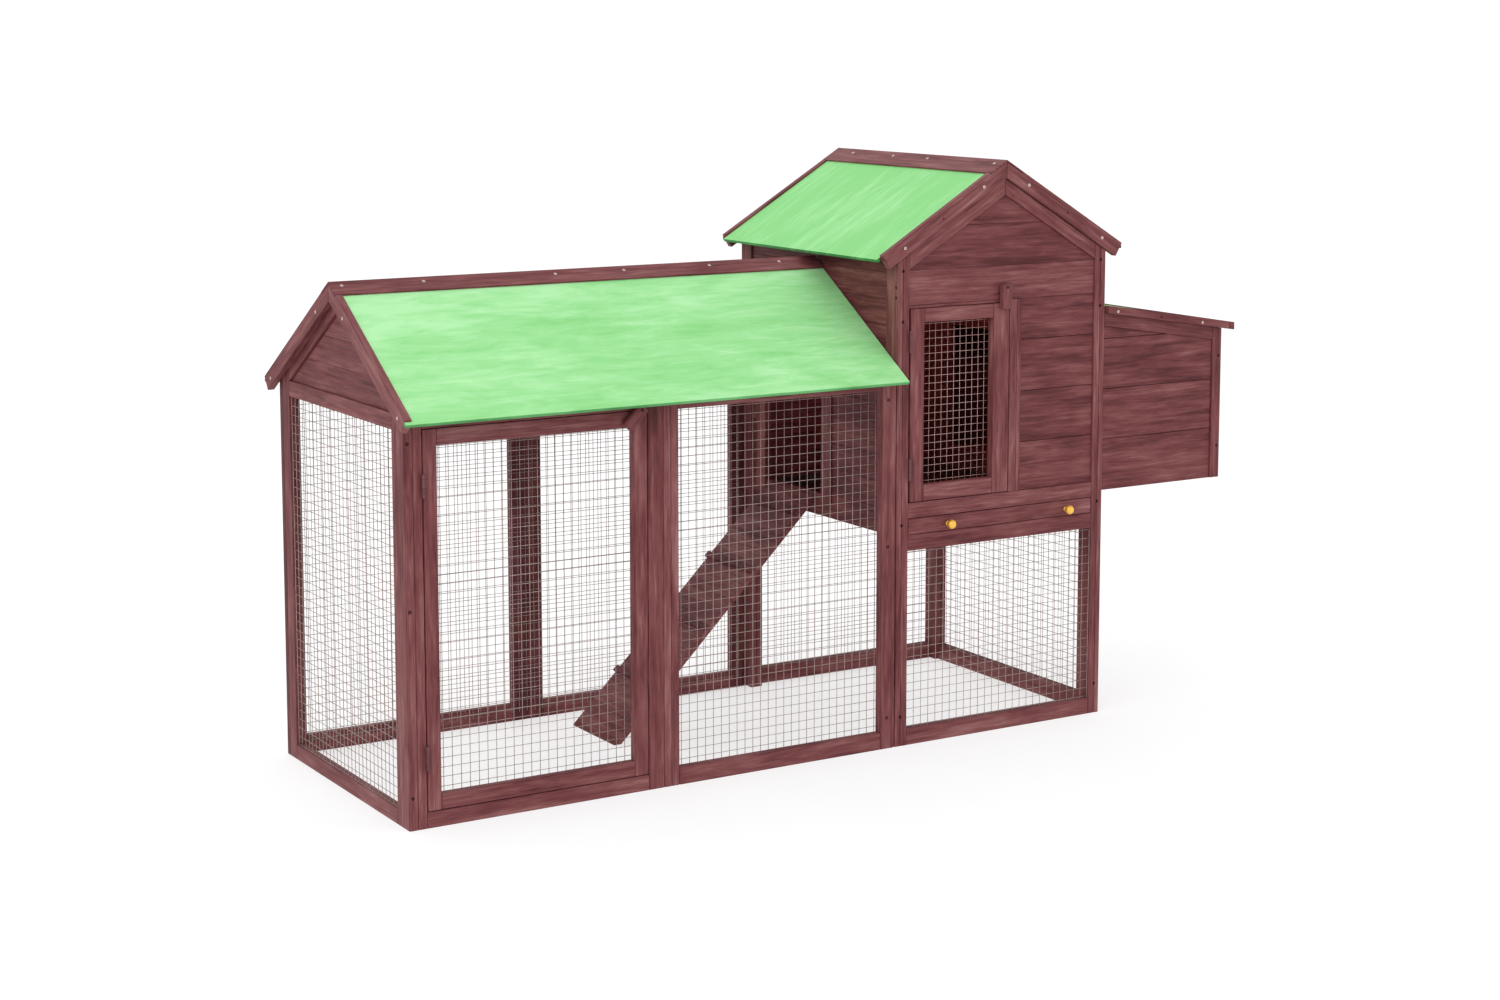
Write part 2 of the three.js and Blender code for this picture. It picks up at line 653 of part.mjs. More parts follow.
function nestLid() {
  const proud = 2.5; // edge boards above the covering
  const covering = 8;
  const edge = BOARD;
  const front = [-10, -10 + edge];
  const rear = [DEPTH + 10 - edge, DEPTH + 10];
  const x = [NEST_LID_START, NEST_LID_TIP];
  const slab = (fromX, toX, top, bottom, y) =>
    slabAcrossY(
      [
        [fromX, lidLine(fromX, bottom)],
        [toX, lidLine(toX, bottom)],
        [toX, lidLine(toX, top)],
        [fromX, lidLine(fromX, top)],
      ],
      y,
    );
  const panelX = [x[0], x[1] - edge - JOINT_GAP];
  const panelY = [front[1] + JOINT_GAP, rear[0] - JOINT_GAP];
  const panel = slab(panelX[0], panelX[1], proud, proud + covering, panelY);
  const edges = joined(
    slab(x[0], x[1], 0, NEST_LID_EDGE, front),
    slab(x[0], x[1], 0, NEST_LID_EDGE, rear),
    slab(x[1] - edge, x[1], 0, NEST_LID_EDGE, [front[0], rear[1]]),
  );
  const axis = { x: 1574.5, z: 864.5, radius: 3, y: [20, DEPTH - 20] };
  const knuckle = new THREE.CylinderGeometry(axis.radius, axis.radius, axis.y[1] - axis.y[0], 16);
  knuckle.translate(axis.x, MIDDLE, axis.z);
  const leaf = block([HOUSE_RIGHT + JOINT_GAP, 1572], axis.y, [862, 884]);
  const group = new THREE.Group();
  group.add(named("nest_lid", panel, GREEN_ROOFING));
  group.add(named("nest_lid_edge", edges, STAINED_WOOD));
  group.add(named("nest_lid_hinge", joined(knuckle, leaf), HINGE_STEEL));
  return group;
}

// ---------------------------------------------------------------- the coop

const coop = new THREE.Group();
coop.add(runCorners(), runEnd(), runFront(), runRear(), runRoof(), ramp());
coop.add(doors());
coop.add(housePosts(), houseBase(), houseWalls(), houseRoof(), tray());
coop.add(nestBox(), nestLid());
coop.position.set(-(NEST_LID_TIP - RUN_OVERHANG) / 2, -MIDDLE, 0);

export default coop;
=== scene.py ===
"""The looks of a timber chicken coop: boards with their own grain, wire mesh, screws and hinges."""

import json
import math
import random

import bmesh
import bpy
from mathutils import Matrix, Vector


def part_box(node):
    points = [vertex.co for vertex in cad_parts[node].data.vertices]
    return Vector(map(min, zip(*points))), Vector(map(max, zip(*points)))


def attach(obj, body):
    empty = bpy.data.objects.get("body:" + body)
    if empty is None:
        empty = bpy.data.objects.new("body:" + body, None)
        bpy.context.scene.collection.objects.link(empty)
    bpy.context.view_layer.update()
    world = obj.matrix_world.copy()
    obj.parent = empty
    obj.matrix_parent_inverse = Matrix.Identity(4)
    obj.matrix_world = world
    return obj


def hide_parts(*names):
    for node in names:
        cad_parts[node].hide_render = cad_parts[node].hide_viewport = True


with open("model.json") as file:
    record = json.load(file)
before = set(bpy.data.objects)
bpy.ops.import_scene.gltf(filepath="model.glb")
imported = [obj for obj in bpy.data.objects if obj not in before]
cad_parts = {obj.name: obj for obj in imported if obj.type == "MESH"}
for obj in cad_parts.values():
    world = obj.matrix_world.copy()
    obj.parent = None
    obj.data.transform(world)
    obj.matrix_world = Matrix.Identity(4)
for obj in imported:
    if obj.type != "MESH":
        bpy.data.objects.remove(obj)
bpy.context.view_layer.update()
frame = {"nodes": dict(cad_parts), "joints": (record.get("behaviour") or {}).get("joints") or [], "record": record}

X, Y, Z = Vector((1, 0, 0)), Vector((0, 1, 0)), Vector((0, 0, 1))
BODY_OF = {
    node: body
    for body, nodes in frame["record"]["behaviour"]["bodies"].items()
    for node in nodes
}

# ---------------------------------------------------------------- sizes, in metres

JOINT = 0.0004  # gap between two boards of a frame
PLANK_JOINT = 0.0010  # between two planks of a wall
FAINT_JOINT = 0.0003  # between two planks of a gable
EDGE = 0.0008  # rounding of a board's edges
THIN_EDGE = 0.0004
FRONT_EDGE = 0.0006
BUTTON_EDGE = 0.0016
SHARP = 0.35  # least angle between two faces whose edge is rounded, in radians
CLEAR = 0.0002  # how far a cut keeps from a face that lies along it
HEAD_ROOM = 0.00015  # planed off the run's bargeboards, so that screw heads stay in the CAD box
TONGUE_SHORT = 0.002  # how far the roofs' tongues end inside the bargeboards' ends

PLANK = 0.105  # height of a wall plank's face
HALF_PLANK = PLANK / 2
STILE = 0.033  # width of a frame's upright
REAR_STILE = 0.035
DOOR_GAP = 0.0015  # between a door and what stands beside it
MESH_LAP = 0.012  # how far the doors' mesh runs behind their frames
BETWEEN_RAILS = 0.4  # a height that splits a run frame's upper rails from its lower ones

RUN_PITCH = math.radians(32.4)
HOUSE_PITCH = math.radians(31)
RUN_TRIM = 0.050  # from a roof's top down to the gable trims' lower edge
HOUSE_TRIM = 0.060
NEST_FALL = 0.158  # how much the nest's lid falls per metre, away from the house

WIRE = 0.00061  # radius
WINDOW_WIRE = 0.00042
RUN_MESH = 0.0177  # pitch
WINDOW_MESH = 0.015

# Radii of the screw and nail heads.
ROOF_HEAD = 0.0032
FRAME_HEAD = 0.0034
PIVOT_HEAD = 0.0030
LID_HEAD = 0.0030
LID_NAIL = 0.0024
BARGEBOARD_NAIL = 0.0021

# How much darker these faces are than a post or rail: the planks' stain, and painted light and shade where noted.
PLANK_STAIN = 3.0
# Painted light: the run's gable planks take less stain than other planks, standing for the brighter light on that
# left-facing end.
GABLE_STAIN_AND_PAINTED_LIGHT = 1.5
DARKER_AND_PAINTED_SHADE = 5.0  # the ramp's plank, made darker, and the rear frame's uprights, darkened as painted shade for the shade inside the run
# Painted shade: darkens the house roof's covering and its bare tongues, standing for the shade on its side-facing
# slopes.
HOUSE_ROOF_PAINTED_SHADE = 6.0

# ---------------------------------------------------------------- materials


def srgb(*channels):
    """A colour given as 0-255 sRGB, as the linear RGBA that shaders take."""
    linear = [
        c / 12.92 if c <= 0.04045 else ((c + 0.055) / 1.055) ** 2.4
        for c in (v / 255 for v in channels)
    ]
    return (*linear, 1.0)


class Shader:
    """A material whose nodes are added from the pattern to the surface."""

    def __init__(self, name):
        self.material = bpy.data.materials.new(name)
        self.material.use_nodes = True
        self.tree = self.material.node_tree
        self.surface = self.tree.nodes["Principled BSDF"]

    def node(self, kind, inputs, **settings):
        node = self.tree.nodes.new(kind)
        for key, value in settings.items():
            setattr(node, key, value)
        for key, value in inputs.items():
            self.put(node.inputs[key], value)
        return node

    def put(self, socket, value):
        if isinstance(value, bpy.types.NodeSocket):
            self.tree.links.new(value, socket)
        else:
            socket.default_value = value

    def attribute(self, name, output="Vector"):
        return self.node("ShaderNodeAttribute", {}, attribute_name=name).outputs[output]

    def scaled(self, vector, scale):
        inputs = {0: vector, 1: scale}
        return self.node("ShaderNodeVectorMath", inputs, operation="MULTIPLY").outputs[0]

    def noise(self, vector, scale, detail=3.0, roughness=0.55, distortion=0.0):
        inputs = {
            "Vector": self.scaled(vector, scale),
            "Scale": 1.0,
            "Detail": detail,
            "Roughness": roughness,
            "Distortion": distortion,
        }
        return self.node("ShaderNodeTexNoise", inputs).outputs["Fac"]

    def math(self, operation, a, b):
        return self.node("ShaderNodeMath", {0: a, 1: b}, operation=operation).outputs[0]

    def weighted(self, *terms):
        """The sum of value times weight."""
        total = 0.0
        for value, weight in terms:
            total = self.math("ADD", self.math("MULTIPLY", value, weight), total)
        return total

    def between(self, value, low, high, to_low=0.0, to_high=1.0):
        inputs = {
            "Value": value,
            "From Min": low,
            "From Max": high,
            "To Min": to_low,
            "To Max": to_high,
        }
        return self.node("ShaderNodeMapRange", inputs).outputs[0]

    def ramp(self, value, stops):
        node = self.node("ShaderNodeValToRGB", {"Fac": value})
        elements = node.color_ramp.elements
        while len(elements) < len(stops):
            elements.new(0.5)
        for element, (position, colour) in zip(elements, stops):
            element.position = position
            element.color = colour
        return node.outputs["Color"]

    def mix(self, factor, a, b):
        node = self.node("ShaderNodeMix", {}, data_type="RGBA", blend_type="MIX")
        self.put(node.inputs["Factor"], factor)
        colours = [s for s in node.inputs if s.type == "RGBA"]
        self.put(colours[0], a)
        self.put(colours[1], b)
        return next(s for s in node.outputs if s.type == "RGBA")

    def bump(self, height, strength, distance):
        inputs = {"Height": height, "Strength": strength, "Distance": distance}
        return self.node("ShaderNodeBump", inputs).outputs["Normal"]

    def finish(self, **inputs):
        for key, value in inputs.items():
            self.put(self.surface.inputs[key.replace("_", " ")], value)
        return self.material


def stained_wood():
    """Red-brown stain on softwood: fine fibres, long streaks, dark lines, a few knots and pores."""
    s = Shader("stained_wood")
    grain = s.attribute("grain")
    tone = s.attribute("tone", "Fac")
    fibres = s.noise(grain, (26, 420, 420), 3.0)
    dashes = s.noise(grain, (11, 150, 150), 3.0, 0.6, 0.3)
    bands = s.noise(grain, (4.2, 60, 60), 3.0, 0.55, 0.4)
    clouds = s.noise(grain, (5.5, 14, 14), 3.0, 0.6, 0.3)
    # tone adds each board's random tone and stain, and the painted light and shade set on the gable, the rear
    # uprights and the house roof's tongues.
    value = s.weighted((fibres, 0.2), (dashes, 0.26), (bands, 0.28), (clouds, 0.26), (tone, 0.017))
    colour = s.ramp(
        value,
        [
            (0.37, srgb(76, 24, 28)),
            (0.46, srgb(106, 50, 53)),
            (0.53, srgb(123, 69, 70)),
            (0.64, srgb(149, 103, 101)),
        ],
    )
    ridges = s.math("SUBTRACT", s.noise(grain, (3.2, 130, 130), 2.0, 0.5, 0.5), 0.5)
    line = s.between(s.math("ABSOLUTE", ridges, 0.0), 0.004, 0.024, 1.0, 0.0)
    line = s.math("MULTIPLY", line, s.between(clouds, 0.42, 0.56, 0.55, 0.05))
    colour = s.mix(line, colour, srgb(66, 22, 26))
    cells = s.node(
        "ShaderNodeTexVoronoi",
        {"Vector": s.scaled(grain, (3.1, 13, 13)), "Scale": 1.0, "Randomness": 1.0},
        feature="F1",
    )
    knot = s.between(cells.outputs["Distance"], 0.05, 0.12, 1.0, 0.0)
    colour = s.mix(s.math("MULTIPLY", knot, 0.45), colour, srgb(58, 22, 24))
    pores = s.between(s.noise(grain, (24, 900, 900), 2.0), 0.60, 0.70)
    colour = s.mix(s.math("MULTIPLY", pores, 0.12), colour, srgb(62, 26, 28))
    height = s.weighted((fibres, 0.6), (dashes, 0.5), (pores, -0.5), (knot, -0.3))
    return s.finish(
        Base_Color=colour,
        Roughness=s.between(fibres, 0.3, 0.7, 0.56, 0.76),
        Specular_IOR_Level=0.32,
        Normal=s.bump(height, 0.35, 0.0006),
    )


def green_roofing(name, dark, middle, light):
    """Pale green covering with long soft streaks and a fine matt tooth."""
    s = Shader(name)
    grain = s.attribute("grain")
    tone = s.attribute("tone", "Fac")
    wide = s.noise(grain, (3.2, 9, 9), 4.0, 0.62, 0.6)
    brushed = s.noise(grain, (9, 48, 48), 4.0, 0.65, 0.6)
    tooth = s.noise(grain, (420, 420, 420), 2.0)
    # tone adds each panel's random tone and, on the house roof, painted shade.
    value = s.weighted((wide, 0.52), (brushed, 0.42), (tooth, 0.06), (tone, 0.02))
    colour = s.ramp(value, [(0.38, dark), (0.50, middle), (0.62, light)])
    return s.finish(
        Base_Color=colour,
        Roughness=s.between(brushed, 0.3, 0.7, 0.62, 0.78),
        Specular_IOR_Level=0.25,
        Normal=s.bump(s.weighted((tooth, 0.5), (brushed, 0.4)), 0.22, 0.0005),
    )


def metal(name, dark, light, roughness, metallic, spread=60.0, specular=0.5):
    """Painted, plated or polished metal. spread is how many mottles there are per metre."""
    s = Shader(name)
    place = s.attribute("grain")
    mottle = s.noise(place, (spread, spread, spread), 4.0, 0.6)
    fine = s.noise(place, (spread * 12,) * 3, 2.0)
    colour = s.ramp(s.weighted((mottle, 0.8), (fine, 0.2)), [(0.36, dark), (0.64, light)])
    return s.finish(
        Base_Color=colour,
        Metallic=metallic,
        Specular_IOR_Level=specular,
        Roughness=s.between(mottle, 0.3, 0.7, roughness - 0.08, roughness + 0.08),
        Normal=s.bump(fine, 0.08, 0.0003),
    )


WOOD = stained_wood()
GREEN = green_roofing(
    "green_roofing", srgb(134, 208, 128), srgb(152, 219, 147), srgb(174, 231, 170)
)
# Painted shade: a darker copy of the covering, put on the panels' side edges, which face away from the light.
GREEN_PAINTED_SHADE = green_roofing(
    "green_roofing_painted_shade", srgb(66, 128, 72), srgb(88, 158, 94), srgb(108, 180, 112)
)
# The run's wire is a darker copy and the window's a lighter, pinker copy of one galvanised wire: painted shade on
# wires seen against the bright backdrop, painted light on wires seen against the dark inside of the house.
GALVANISED_PAINTED_SHADE = metal("galvanised_wire_painted_shade", srgb(142, 122, 118), srgb(180, 160, 154), 0.5, 0.15, 240.0)
WINDOW_WIRE_PAINTED_LIGHT = metal("window_wire_painted_light", srgb(190, 150, 144), srgb(226, 188, 180), 0.5, 0.0, 240.0)
ZINC = metal("zinc_sheet", srgb(58, 48, 46), srgb(86, 74, 71), 0.6, 0.3, 45.0)
PAINTED = metal("painted_steel", srgb(84, 48, 50), srgb(112, 68, 70), 0.5, 0.15, 120.0)
DARK_SCREW = metal("dark_screw", srgb(22, 4, 6), srgb(36, 10, 12), 0.7, 0.0, 300.0, 0.1)
PALE_SCREW = metal("pale_screw", srgb(186, 170, 160), srgb(232, 220, 210), 0.38, 0.55, 300.0)
BRASS = metal("polished_brass", srgb(238, 176, 62), srgb(250, 204, 98), 0.3, 0.55, 150.0)

# ---------------------------------------------------------------- cutting solids into boards


def along(axis, value):
    """The point on a coordinate axis at that value."""
    return (X, Y, Z)[axis] * value


def solid(node):
    """A CAD node's solid as one welded mesh."""
    bm = bmesh.new()
    bm.from_mesh(frame["nodes"][node].data)
    bmesh.ops.remove_doubles(bm, verts=bm.verts, dist=2e-6)
    return bm


def beyond(bm, point, normal):
    """The closed part of a solid on the normal's side of a plane."""
    part = bm.copy()
    cut = bmesh.ops.bisect_plane(
        part,
        geom=part.verts[:] + part.edges[:] + part.faces[:],
        dist=1e-7,
        plane_co=point,
        plane_no=normal,
        clear_inner=True,
    )
    edges = [e for e in cut["geom_cut"] if isinstance(e, bmesh.types.BMEdge) and e.is_boundary]
    bmesh.ops.triangle_fill(part, edges=edges, use_beauty=True, normal=-normal)
    return part


def halves(bm, point, normal, joint=JOINT):
    """Both parts of a solid, behind and beyond a plane, each drawn back by half a joint."""
    back = normal * (joint / 2)
    return beyond(bm, point - back, -normal), beyond(bm, point + back, normal)


def slabs(bm, axis, values, joint=JOINT):
    """The parts of a solid between planes across a coordinate axis."""
    parts = []
    for value in sorted(values):
        low, bm = halves(bm, along(axis, value), (X, Y, Z)[axis], joint)
        parts.append(low)
    return [part for part in [*parts, bm] if part.faces]


def steps(start, pitch, low, high, margin=0.008):
    """The values start + k * pitch that lie between low and high."""
    first = math.ceil((low + margin - start) / pitch)
    last = math.floor((high - margin - start) / pitch)
    return [start + k * pitch for k in range(first, last + 1)]


class Piece:
    """One Blender piece made of separate closed parts, each with grain coordinates of its own."""

    def __init__(self, name, *materials):
        self.name = name
        self.materials = materials
        self.random = random.Random(name)
        self.bm = bmesh.new()
        self.grain = self.bm.verts.layers.float_vector.new("grain")
        self.tone = self.bm.verts.layers.float.new("tone")

    def add(self, part, grain=X, edge=0.0, stain_and_painted_light=0.0, smooth=False, material_of=None):
        """Rounds a part's edges and takes it in.

        grain is the direction of its fibres, and material_of gives a face's material index.
        """
        bmesh.ops.dissolve_limit(
            part, angle_limit=math.radians(0.4), verts=part.verts, edges=part.edges
        )
        if edge:
            sharp = [e for e in part.edges if e.is_manifold and e.calc_face_angle(0) > SHARP]
            bmesh.ops.bevel(
                part, geom=sharp, offset=edge, segments=2, affect="EDGES", clamp_overlap=True
            )
        bmesh.ops.recalc_face_normals(part, faces=part.faces)
        grain = grain.normalized()
        across = grain.orthogonal().normalized()
        depth = grain.cross(across)
        start = Vector([self.random.uniform(-9, 9) for _ in range(3)])
        # Each part's random tone, less its stain and its painted light or shade.
        tone = self.random.uniform(-0.8, 0.8) - stain_and_painted_light
        copies = {}
        for vert in part.verts:
            new = self.bm.verts.new(vert.co)
            new[self.grain] = start + Vector([vert.co.dot(a) for a in (grain, across, depth)])
            new[self.tone] = tone
            copies[vert] = new
        for face in part.faces:
            new = self.bm.faces.new([copies[v] for v in face.verts])
            new.smooth = smooth
            new.material_index = material_of(face) if material_of else 0
        part.free()

    def place(self, body, slot, *replaced):
        """Makes the object, which rides on a body and may stand for CAD nodes."""
        mesh = bpy.data.meshes.new(self.name)
        self.bm.to_mesh(mesh)
        self.bm.free()
        for material in self.materials:
            mesh.materials.append(material)
        obj = bpy.data.objects.new(self.name, mesh)
        bpy.context.scene.collection.objects.link(obj)
        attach(obj, body)
        if replaced:
            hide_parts(*replaced)


def boards(node, parts, edge=EDGE):
    """A wooden CAD node as its boards. parts are (solid, grain direction, any extra stain and painted light or
    shade).
    """
    piece = Piece(f"{node}_boards", WOOD)
    for part, grain, *stain_and_painted_light in parts:
        piece.add(part, grain, edge, *stain_and_painted_light)
    piece.place(BODY_OF[node], "stained_wood", node)


def planked(bm, grain, joints, joint=PLANK_JOINT, stain_and_painted_light=PLANK_STAIN):
    """A wall's solid as horizontal planks, cut apart at the heights in joints."""
    return [(part, grain, stain_and_painted_light) for part in slabs(bm, 2, joints, joint)]


def framed(bm, cuts, kinds, middle):
    """A frame's solid, cut along X. kinds says of each part: an upright, or a pair of rails."""
    parts = []
    for part, kind in zip(slabs(bm, 0, cuts), kinds):
        if kind == "upright":
            parts.append((part, Z))
        else:
            parts.extend((rail, X) for rail in slabs(part, 2, [middle]))
    return parts


def slope_apex(ridge, middle, depth, pitch):
    """Where the two planes at that depth below a roof's slopes meet."""
    return middle + Z * (ridge - depth / math.cos(pitch))


def slope_normal(outwards, pitch):
    """Square to a roof slope, upwards."""
    return outwards * math.sin(pitch) + Z * math.cos(pitch)


def slope_grain(outwards, pitch):
    """Down a roof slope."""
    return outwards * math.cos(pitch) - Z * math.sin(pitch)


def gabled(bm, apex, outwards, pitch):
    """A gable's two sloping trims, and the panel that they go round."""
    axis = 0 if abs(outwards.x) > 0.5 else 1
    trims = []
    for half, side in zip(slabs(bm, axis, [apex[axis]]), (-outwards, outwards)):
        trim = halves(half, apex, slope_normal(side, pitch))[1]
        trims.append((trim, slope_grain(side, pitch)))
    core = bm
    for side in (-outwards, outwards):
        core = halves(core, apex, slope_normal(side, pitch))[0]
    return trims, core


# ---------------------------------------------------------------- the run

RUN_MIDDLE = Vector((0, 0, 0))
RUN_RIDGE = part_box("run_ridge_cap")[1].z
GABLE_RAIL = 0.030  # height of the rail under the gable's planks
MIDDLE_SEAM = 0.016  # from the front frame's second upright's left side to the seam in it
REAR_SHIFT = 0.0025  # how far the rear frame's middle uprights are left of its middle


def run_gable():
    lo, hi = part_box("run_gable_panel")
    planks_start = lo.z + GABLE_RAIL
    rail, above = slabs(solid("run_gable_panel"), 2, [planks_start])
    apex = slope_apex(RUN_RIDGE, RUN_MIDDLE, RUN_TRIM, RUN_PITCH)
    trims, core = gabled(above, apex, Y, RUN_PITCH)
    joints = steps(planks_start, HALF_PLANK, planks_start, hi.z)
    planks = planked(core, Y, joints, FAINT_JOINT, GABLE_STAIN_AND_PAINTED_LIGHT)
    boards("run_gable_panel", [(rail, Y), *trims, *planks], THIN_EDGE)


def run_frames():
    _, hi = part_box("run_front_frame")
    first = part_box("run_door_frame")[1].x + DOOR_GAP
    second = first + STILE
    cuts = [first, second, second + MIDDLE_SEAM, second + STILE, hi.x - STILE]
    kinds = ["rails", "upright", "upright", "upright", "rails", "upright"]
    boards("run_front_frame", framed(solid("run_front_frame"), cuts, kinds, BETWEEN_RAILS))
    lo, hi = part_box("run_rear_frame")
    centre = (lo.x + hi.x) / 2 - REAR_SHIFT
    cuts = [lo.x + REAR_STILE, centre - REAR_STILE, centre, centre + REAR_STILE, hi.x - REAR_STILE]
    kinds = ["upright", "rails", "upright", "upright", "rails", "upright"]
    parts = framed(solid("run_rear_frame"), cuts, kinds, BETWEEN_RAILS)
    # Painted shade: the rear frame's uprights are darkened, standing for the shade inside the run.
    with_painted_shade = [(part, grain, DARKER_AND_PAINTED_SHADE if grain is Z else 0) for part, grain in parts]
    boards("run_rear_frame", with_painted_shade)


def door(name):
    """A door's two stiles at full height, and the two rails between them."""
    lo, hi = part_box(f"{name}_mesh")
    cuts = [lo.x + MESH_LAP, hi.x - MESH_LAP]
    node = f"{name}_frame"
    kinds = ["upright", "rails", "upright"]
    boards(node, framed(solid(node), cuts, kinds, (lo.z + hi.z) / 2))


def run_posts():
    lo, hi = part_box("run_corner_post_front")
    halves_of_post = slabs(solid("run_corner_post_front"), 0, [(lo.x + hi.x) / 2])
    boards("run_corner_post_front", [(part, Z) for part in halves_of_post])
    boards("run_corner_post_rear", [(solid("run_corner_post_rear"), Z)])
    boards("run_end_base_rail", [(solid("run_end_base_rail"), Y)])


RAMP_FOOT = 0.001  # height at which the plank's upper face starts
RAMP_RISE = 0.466
RAMP_GAP = 0.0015  # between the plank's upper end and the house
CLEAT_GAPS = (0.225, 0.38, 0.535)  # places between the cleats, along the plank


def ramp():
    lo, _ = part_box("ramp")
    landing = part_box("house_left_wall")[0].x - RAMP_GAP
    grain = Vector((landing - lo.x, 0, RAMP_RISE)).normalized()
    foot = Vector((lo.x, 0, RAMP_FOOT))
    plank, cleats = halves(solid("ramp"), foot, grain.cross(-Y))
    parts = [(plank, grain, DARKER_AND_PAINTED_SHADE)]
    for at in CLEAT_GAPS:
        cleat, cleats = halves(cleats, grain * (grain.dot(foot) + at), grain)
        parts.append((cleat, Y))
    boards("ramp", [*parts, (cleats, Y)])


# ---------------------------------------------------------------- the house

cap_low, cap_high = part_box("house_ridge_cap")
HOUSE_RIDGE = cap_high.z
HOUSE_MIDDLE = X * ((cap_low.x + cap_high.x) / 2)
POST_SEAM = 0.0125  # from a house post's outer side to the seam between its two boards
BATTEN = 0.029  # width of the board beside the window
BATTEN_EDGE = 0.011  # width of its right-hand strip
HEADER_GAP = 0.007  # from the window door up to the gable's header
HEADER_STAIN = 1.0
FRONT_JOINT = 0.0992  # from the front wall's lower edge up to a joint
GABLE_JOINTS = (0.069, 0.154)  # heights over the header's lower edge
GUIDE = 0.004  # thickness of the strips beside the pop hole
POP_HOLE_MIDDLE = 0.09
LEFT_JOINT = 0.897  # height of one joint between the left wall's planks
PLAIN_JOINT = 0.592  # likewise in the right and the rear wall


def house_posts():
    for end in ("front", "rear"):
        for side in ("left", "right"):
            node = f"house_post_{end}_{side}"
            lo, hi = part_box(node)
            at = lo.x + POST_SEAM if side == "left" else hi.x - POST_SEAM
            boards(node, [(part, Z) for part in slabs(solid(node), 0, [at])])


def house_rails():
    for node, grain in (
        ("house_base_rail_front", X),
        ("house_base_rail_rear", X),
        ("house_rail_below_tray", X),
        ("house_rail_above_tray", X),
        ("house_base_rail_right", Y),
        ("tray_front", X),
    ):
        boards(node, [(solid(node), grain)])


def house_floor():
    lo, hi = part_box("house_floor")
    planks = slabs(solid("house_floor"), 1, steps(lo.y, PLANK, lo.y, hi.y))
    boards("house_floor", [(part, X, PLANK_STAIN) for part in planks])


def house_front():
    node = "house_front_wall"
    lo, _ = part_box(node)
    _, door_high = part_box("house_door_frame")
    left = door_high.x + DOOR_GAP
    right = left + BATTEN
    top = door_high.z + HEADER_GAP
    low, high = slabs(solid(node), 2, [top])
    strip, wide, narrow, panel = slabs(low, 0, [left - CLEAR, right - BATTEN_EDGE, right])
    apex = slope_apex(HOUSE_RIDGE, HOUSE_MIDDLE, HOUSE_TRIM, HOUSE_PITCH)
    trims, core = gabled(high, apex, X, HOUSE_PITCH)
    planks = planked(panel, X, steps(lo.z + FRONT_JOINT, PLANK, lo.z, top))
    (header, _, _), *gable = planked(core, X, [top + up for up in GABLE_JOINTS], FAINT_JOINT)
    parts = [(strip, X), (wide, Z), (narrow, Z), *trims, *planks, (header, X, HEADER_STAIN)]
    boards(node, [*parts, *gable], FRONT_EDGE)


def house_sides():
    """The left wall, whose pop hole has a guide strip on each side, and the two plain walls."""
    node = "house_left_wall"
    lo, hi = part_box(node)
    guides, wall = slabs(solid(node), 0, [lo.x + GUIDE])
    first, second = slabs(guides, 1, [POP_HOLE_MIDDLE])
    joints = steps(LEFT_JOINT, HALF_PLANK, lo.z, hi.z)
    boards(node, [(first, Z), (second, Z), *planked(wall, Y, joints, JOINT)])
    for node, grain in (("house_right_wall", Y), ("house_rear_wall", X)):
        lo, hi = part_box(node)
        boards(node, planked(solid(node), grain, steps(PLAIN_JOINT, PLANK, lo.z, hi.z)))


# ---------------------------------------------------------------- roofs


def roofs():
    roof("run_roof_front", X)
    _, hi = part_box("run_bargeboard_rear")
    roof("run_roof_rear", X, 0.0, 0, [hi.x], (Y * (hi.y - TONGUE_SHORT), -Y))
    tongues = [
        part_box("house_bargeboard_front_left")[1].y,
        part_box("house_bargeboard_rear_left")[0].y,
    ]
    for side, outwards, corner in (("left", -X, 0), ("right", X, 1)):
        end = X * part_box(f"house_bargeboard_front_{side}")[corner].x
        eave = (end - outwards * TONGUE_SHORT, -outwards)
        grain = slope_grain(outwards, HOUSE_PITCH)
        roof(f"house_roof_{side}", grain, HOUSE_ROOF_PAINTED_SHADE, 1, tongues, eave)


def roof(node, grain, stain_and_painted_light=0.0, axis=1, tongues=(), eave=None):
    """A covered panel.

    tongues are the places along axis where its end parts are cut off. Those are bare wood, and lie
    beyond the plane that eave gives by a point and a normal.
    """
    piece = Piece(f"{node}_covering", GREEN, GREEN_PAINTED_SHADE, WOOD)
    parts = slabs(solid(node), axis, tongues)
    for k, part in enumerate(parts):
        if tongues and k != 1:
            piece.add(beyond(part, *eave), grain, THIN_EDGE, stain_and_painted_light, material_of=bare_face)
        else:
            piece.add(part, grain, THIN_EDGE, stain_and_painted_light, material_of=covering_face)
    piece.place(BODY_OF[node], "green_roofing", node)


def covering_face(face):
    """A roof face's material index: the covering on top, its darker copy on the edges as painted shade, or the
    wood underneath.
    """
    if face.normal.z > 0.5:
        return 0
    return 2 if face.normal.z < -0.7 else 1


def bare_face(face):
    return 2


